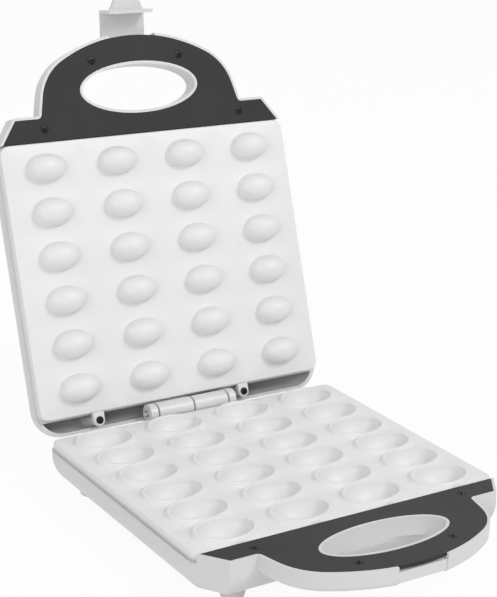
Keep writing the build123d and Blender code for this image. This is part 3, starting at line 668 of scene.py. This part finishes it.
def turned(name, profile, closed=False):
    """A profile of (radius, height) spun about Z; a radius of zero is a pole."""
    mesh = bmesh.new()
    rows = []
    for radius, height in profile:
        if radius == 0.0:
            rows.append([mesh.verts.new((0.0, 0.0, height))] * TURNED_STEPS)
            continue
        turns = [2 * pi * i / TURNED_STEPS for i in range(TURNED_STEPS)]
        rows.append([mesh.verts.new((radius * cos(t), radius * sin(t), height)) for t in turns])
    pairs = list(zip(rows, rows[1:]))
    if closed:
        pairs.append((rows[-1], rows[0]))
    for first, second in pairs:
        for i in range(TURNED_STEPS):
            after = (i + 1) % TURNED_STEPS
            corners = list(dict.fromkeys((first[i], first[after], second[after], second[i])))
            mesh.faces.new(corners)
    bmesh.ops.recalc_face_normals(mesh, faces=mesh.faces)
    data = bpy.data.meshes.new(name)
    mesh.to_mesh(data)
    mesh.free()
    return data


# Cord gland, along its length from inside the wall: radii and the tail's ribs
GLAND_BORE = 3.4 * MM
GLAND_BODY = 5.0 * MM
GLAND_FLANGE = 6.8 * MM
GLAND_TAIL = 4.4 * MM
GLAND_INSIDE = 9.0 * MM
FLANGE_THICK = 2.0 * MM
FLANGE_ROUND = 0.5 * MM
RIBS = 4
RIB_DEPTH = 0.6 * MM
# Where a rib's groove ends and its crest starts and ends, as shares of the ribs' pitch
GROOVE_END = 0.35
CREST_START = 0.45
CREST_END = 0.9


class CordGland(bpy.types.Operator):
    """The rubber gland at the back, with ribs on its tail and its bore left open"""
    bl_idname = "nut_maker.cord_gland"
    bl_label = "Cord gland"

    def execute(self, context):
        low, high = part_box("cord_gland")
        length = high.y - low.y
        collar = GLAND_INSIDE + FLANGE_THICK
        profile = [
            (GLAND_BORE, 0.0), (GLAND_BODY, 0.0), (GLAND_BODY, GLAND_INSIDE),
            (GLAND_FLANGE, GLAND_INSIDE), (GLAND_FLANGE, collar - FLANGE_ROUND),
            (GLAND_FLANGE - FLANGE_ROUND, collar),
        ]
        pitch = (length - collar) / RIBS
        for i in range(RIBS):
            near = GLAND_BODY + (GLAND_TAIL - GLAND_BODY) * i / RIBS
            start = collar + pitch * i
            profile += [
                (near - RIB_DEPTH, start), (near - RIB_DEPTH, start + pitch * GROOVE_END),
                (near, start + pitch * CREST_START), (near, start + pitch * CREST_END),
            ]
        profile += [(GLAND_TAIL - RIB_DEPTH / 2, length), (GLAND_BORE, length)]
        data = turned("Cord_gland", profile, closed=True)
        middle = (low + high) / 2
        turn = Matrix.Rotation(-pi / 2, 4, "X")
        data.transform(Matrix.Translation((middle.x, low.y, middle.z)) @ turn)
        data.shade_smooth()
        data.set_sharp_from_angle(angle=SHARP)
        new_piece("Cord_gland", data, "cord_gland")
        return {"FINISHED"}


class FootPads(bpy.types.Operator):
    """The four rubber pads with softened rims"""
    bl_idname = "nut_maker.foot_pads"
    bl_label = "Foot pads"

    def execute(self, context):
        softened("Foot_pad_set", "foot_pads", PAD_EDGE)
        return {"FINISHED"}


# Cross-head screws, set with Geometry Nodes

HEAD_BULGE = 0.25 * MM
CROWN_SHARE = 0.6
HEAD_ROUND = 0.35 * MM
SHANK_TIP = 0.4 * MM
CROSS_LENGTH = 4.0 * MM
CROSS_WIDTH = 0.9 * MM
CROSS_DEPTH = 1.0 * MM
SCREW_INPUTS = (
    ("Geometry", "NodeSocketGeometry"),
    ("Screw", "NodeSocketObject"),
    ("Cross length", "NodeSocketFloat"),
    ("Cross width", "NodeSocketFloat"),
    ("Cross depth", "NodeSocketFloat"),
    ("Facing", "NodeSocketVector"),
    ("Spin seed", "NodeSocketInt"),
    ("Finish", "NodeSocketMaterial"),
)


def open_socket(sockets, name):
    """The socket in use under a name that several kinds of value share."""
    return next(socket for socket in sockets if socket.name == name and socket.enabled)


def screw_tree():
    """Geometry Nodes: cut a cross into the screw, then set one at each point, turned at random."""
    tree = bpy.data.node_groups.new("Screw set", "GeometryNodeTree")
    for name, kind in SCREW_INPUTS:
        tree.interface.new_socket(name=name, in_out="INPUT", socket_type=kind)
    tree.interface.new_socket(name="Geometry", in_out="OUTPUT", socket_type="NodeSocketGeometry")
    nodes, link = tree.nodes, tree.links.new
    given = nodes.new("NodeGroupInput").outputs
    # The cutting bars are centred on the head's top, so they are twice as deep as the cross
    deep = nodes.new("ShaderNodeMath")
    deep.operation = "MULTIPLY"
    deep.inputs[1].default_value = 2.0
    link(given["Cross depth"], deep.inputs[0])
    screw = nodes.new("GeometryNodeObjectInfo")
    link(given["Screw"], screw.inputs["Object"])
    cut = nodes.new("GeometryNodeMeshBoolean")
    cut.operation = "DIFFERENCE"
    link(screw.outputs["Geometry"], cut.inputs["Mesh 1"])
    for along, across in (("X", "Y"), ("Y", "X")):
        size = nodes.new("ShaderNodeCombineXYZ")
        link(given["Cross length"], size.inputs[along])
        link(given["Cross width"], size.inputs[across])
        link(deep.outputs["Value"], size.inputs["Z"])
        bar = nodes.new("GeometryNodeMeshCube")
        link(size.outputs["Vector"], bar.inputs["Size"])
        link(bar.outputs["Mesh"], cut.inputs["Mesh 2"])
    aim = nodes.new("FunctionNodeAlignRotationToVector")
    aim.axis = "Z"
    link(given["Facing"], aim.inputs["Vector"])
    spin = nodes.new("FunctionNodeRandomValue")
    spin.data_type = "FLOAT"
    open_socket(spin.inputs, "Max").default_value = 2 * pi
    link(given["Spin seed"], open_socket(spin.inputs, "Seed"))
    about = nodes.new("FunctionNodeAxisAngleToRotation")
    about.inputs["Axis"].default_value = UP
    link(open_socket(spin.outputs, "Value"), about.inputs["Angle"])
    turn = nodes.new("FunctionNodeRotateRotation")
    turn.rotation_space = "LOCAL"
    link(aim.outputs["Rotation"], turn.inputs["Rotation"])
    link(about.outputs["Rotation"], turn.inputs["Rotate By"])
    place = nodes.new("GeometryNodeInstanceOnPoints")
    link(given["Geometry"], place.inputs["Points"])
    link(cut.outputs["Mesh"], place.inputs["Instance"])
    link(turn.outputs["Rotation"], place.inputs["Rotation"])
    real = nodes.new("GeometryNodeRealizeInstances")
    link(place.outputs["Instances"], real.inputs["Geometry"])
    finish = nodes.new("GeometryNodeSetMaterial")
    link(real.outputs["Geometry"], finish.inputs["Geometry"])
    link(given["Finish"], finish.inputs["Material"])
    link(finish.outputs["Geometry"], nodes.new("NodeGroupOutput").inputs["Geometry"])
    return tree


def screw_body(head_radius, head_height, shank_radius, length):
    """A screw with a low crowned head, its top at height zero and its shank below."""
    profile = [
        (0.0, 0.0), (head_radius * CROWN_SHARE, -HEAD_BULGE * CROWN_SHARE ** 2),
        (head_radius - HEAD_ROUND, -HEAD_BULGE), (head_radius, -HEAD_BULGE - HEAD_ROUND),
        (head_radius, -head_height), (shank_radius, -head_height),
        (shank_radius, -length + SHANK_TIP), (shank_radius - SHANK_TIP, -length), (0.0, -length),
    ]
    return turned("Screw body", profile)


def screw_set(name, node, facing, shape, seed, turn=None):
    """A node's screws, each at its own CAD place with its own turn."""
    boxes = islands(node, turn)
    low, high = boxes[0]
    body = loose_object("Screw body", screw_body(*shape, high.z - low.z))
    points = bpy.data.meshes.new(name)
    heads = [(*((low + high) / 2).xy, high.z if facing == UP else low.z) for low, high in boxes]
    points.from_pydata(heads, [], [])
    obj = loose_object(name, points)
    tree = bpy.data.node_groups.get("Screw set") or screw_tree()
    modifier = obj.modifiers.new("Screws", "NODES")
    modifier.node_group = tree
    values = {
        "Screw": body,
        "Cross length": CROSS_LENGTH, "Cross width": CROSS_WIDTH, "Cross depth": CROSS_DEPTH,
        "Facing": facing, "Spin seed": seed, "Finish": finish_of(node),
    }
    for item in tree.interface.items_tree:
        if item.in_out == "INPUT" and item.name in values:
            modifier[item.identifier] = values[item.name]
    done = settled(obj)
    bpy.data.objects.remove(body)
    if len(done.polygons) == 0:
        raise RuntimeError("no screws were made for " + node)
    if turn is not None:
        done.transform(turn)
    done.shade_smooth()
    done.set_sharp_from_angle(angle=SHARP)
    new_piece(name, done, node)


# Head radius, head height and shank radius of the cover screws and of the lug screws
COVER_SCREW = (3.2 * MM, 1.8 * MM, 1.5 * MM)
LUG_SCREW = (2.9 * MM, 1.4 * MM, 1.5 * MM)


class Screws(bpy.types.Operator):
    """The cross-head screws of the covers and of the lid plate's lugs"""
    bl_idname = "nut_maker.screws"
    bl_label = "Screws"

    def execute(self, context):
        screw_set("Base_cover_screw_set", "base_cover_screws", UP, COVER_SCREW, seed=3)
        screw_set("Lid_cover_screw_set", "lid_cover_screws", DOWN, COVER_SCREW, seed=5, turn=LID_TURN)
        screw_set("Lid_lug_screw_set", "lid_lug_screws", DOWN, LUG_SCREW, seed=8, turn=LID_TURN)
        return {"FINISHED"}


# Stage: lamps as (name, place, size, power)
LAMPS = (
    ("Key lamp", (1.7, -2.4, 3.0), 1.2, 62.0),
    ("Fill lamp", (-1.6, -1.3, 0.9), 1.2, 13.0),
    ("Top lamp", (0.0, 0.8, 2.0), 1.2, 5.0),
)
LAMP_AIM = Vector((0.0, 0.0, 0.1))
WORLD_LEVEL = 0.45
FLOOR_REACH = 6.0
FLOOR_WHITE = 0.94
FLOOR_GREY = (0.9, 0.9, 0.9)
FLOOR_ROUGHNESS = 0.9
WHITE = (1.0, 1.0, 1.0, 1.0)

# Camera, solved from the photograph: place in metres, turn in degrees, sensor and lens in millimetres
CAMERA_PLACE = (-0.6100, -0.917545, 0.5187)
CAMERA_TURN = (71.672, -2.089, -32.653)
SENSOR_HEIGHT = 36.0
LENS_LENGTH = 98.0
CLIP_END = 20.0


def seen_ray(nodes, links):
    """One where a ray comes from the camera, a gloss or a clear piece, else zero."""
    path = nodes.new("ShaderNodeLightPath")
    total = path.outputs["Is Camera Ray"]
    for name in ("Is Glossy Ray", "Is Transmission Ray"):
        joined = nodes.new("ShaderNodeMath")
        joined.operation = "MAXIMUM"
        links.new(total, joined.inputs[0])
        links.new(path.outputs[name], joined.inputs[1])
        total = joined.outputs["Value"]
    return total


def make_floor():
    """A pale floor that looks white and keeps the object's shadow."""
    mesh = bpy.data.meshes.new("Floor")
    signs = ((-1, -1), (1, -1), (1, 1), (-1, 1))
    corners = [(x * FLOOR_REACH, y * FLOOR_REACH, 0.0) for x, y in signs]
    mesh.from_pydata(corners, [], [(0, 1, 2, 3)])
    floor = loose_object("Floor", mesh)
    material = shader("Floor paper", FLOOR_GREY, FLOOR_ROUGHNESS)
    nodes, links = material.node_tree.nodes, material.node_tree.links
    glow = nodes.new("ShaderNodeEmission")
    glow.inputs["Color"].default_value = WHITE
    share = nodes.new("ShaderNodeMath")
    share.operation = "MULTIPLY"
    share.inputs[1].default_value = FLOOR_WHITE
    mix = nodes.new("ShaderNodeMixShader")
    links.new(seen_ray(nodes, links), share.inputs[0])
    links.new(share.outputs["Value"], mix.inputs["Fac"])
    links.new(nodes["Principled BSDF"].outputs["BSDF"], mix.inputs[1])
    links.new(glow.outputs["Emission"], mix.inputs[2])
    links.new(mix.outputs["Shader"], nodes["Material Output"].inputs["Surface"])
    paint(floor, material)


def make_world():
    """An even studio world that looks white behind the object."""
    world = bpy.data.worlds.new("Studio")
    bpy.context.scene.world = world
    world.use_nodes = True
    nodes, links = world.node_tree.nodes, world.node_tree.links
    light = nodes["Background"]
    light.inputs["Color"].default_value = WHITE
    light.inputs["Strength"].default_value = WORLD_LEVEL
    backdrop = nodes.new("ShaderNodeBackground")
    backdrop.inputs["Color"].default_value = WHITE
    mix = nodes.new("ShaderNodeMixShader")
    links.new(seen_ray(nodes, links), mix.inputs["Fac"])
    links.new(light.outputs["Background"], mix.inputs[1])
    links.new(backdrop.outputs["Background"], mix.inputs[2])
    links.new(mix.outputs["Shader"], nodes["World Output"].inputs["Surface"])


class StageOperator(bpy.types.Operator):
    """Pale floor, soft lamps and the camera at the photographed angle"""
    bl_idname = "nut_maker.stage"
    bl_label = "Stage"

    def execute(self, context):
        scene = context.scene
        scene.view_settings.view_transform = "Standard"
        lens = bpy.data.cameras.new("Photo camera")
        lens.sensor_fit = "VERTICAL"
        lens.sensor_height = SENSOR_HEIGHT
        lens.lens = LENS_LENGTH
        lens.clip_end = CLIP_END
        camera = loose_object("Photo camera", lens)
        camera.location = CAMERA_PLACE
        camera.rotation_euler = Euler([radians(angle) for angle in CAMERA_TURN], "XYZ")
        scene.camera = camera
        make_floor()
        make_world()
        for name, place, size, power in LAMPS:
            light = bpy.data.lights.new(name, "AREA")
            light.size = size
            light.energy = power
            lamp = loose_object(name, light)
            lamp.location = place
            lamp.rotation_euler = (LAMP_AIM - Vector(place)).to_track_quat("-Z", "Y").to_euler()
        return {"FINISHED"}


# CAD nodes that a piece made above stands for
REPLACED = {
    "base_plate", "lid_plate", "lid_domes", "base_shell", "lid_shell",
    "base_handle_cover", "lid_handle_cover", "latch", "cord_gland", "foot_pads",
    "base_cover_screws", "lid_cover_screws", "lid_lug_screws",
}


class CarriedNodes(bpy.types.Operator):
    """Finishes on the CAD nodes whose shape is right as it is"""
    bl_idname = "nut_maker.carried_nodes"
    bl_label = "Carried nodes"

    def execute(self, context):
        for node in NODES:
            if node not in REPLACED:
                keep_node(node)
        return {"FINISHED"}


class MakerPanel(bpy.types.Panel):
    """Settings and the operators that make each piece"""
    bl_idname = "NUTMAKER_PT_panel"
    bl_label = "Nut maker"
    bl_space_type = "VIEW_3D"
    bl_region_type = "UI"
    bl_category = "Nut maker"

    def draw(self, context):
        for name in MakerSettings.__annotations__:
            self.layout.prop(context.scene.nut_maker, name)
        for operator in OPERATORS:
            self.layout.operator(operator.bl_idname)


OPERATORS = (
    StageOperator, CarriedNodes, BasePlate, LidPlate, Shells,
    HandleCovers, Latch, CordGland, FootPads, Screws,
)
CLASSES = (MakerSettings, *OPERATORS, MakerPanel)


def register():
    """Make the settings, operators and panel known."""
    for cls in CLASSES:
        bpy.utils.register_class(cls)
    bpy.types.Scene.nut_maker = bpy.props.PointerProperty(type=MakerSettings)


def unregister():
    """Take them away again."""
    del bpy.types.Scene.nut_maker
    for cls in reversed(CLASSES):
        bpy.utils.unregister_class(cls)


def main():
    """Run every operator in order."""
    register()
    for operator in OPERATORS:
        group, name = operator.bl_idname.split(".")
        getattr(getattr(bpy.ops, group), name)()


if __name__ == "__main__":
    main()
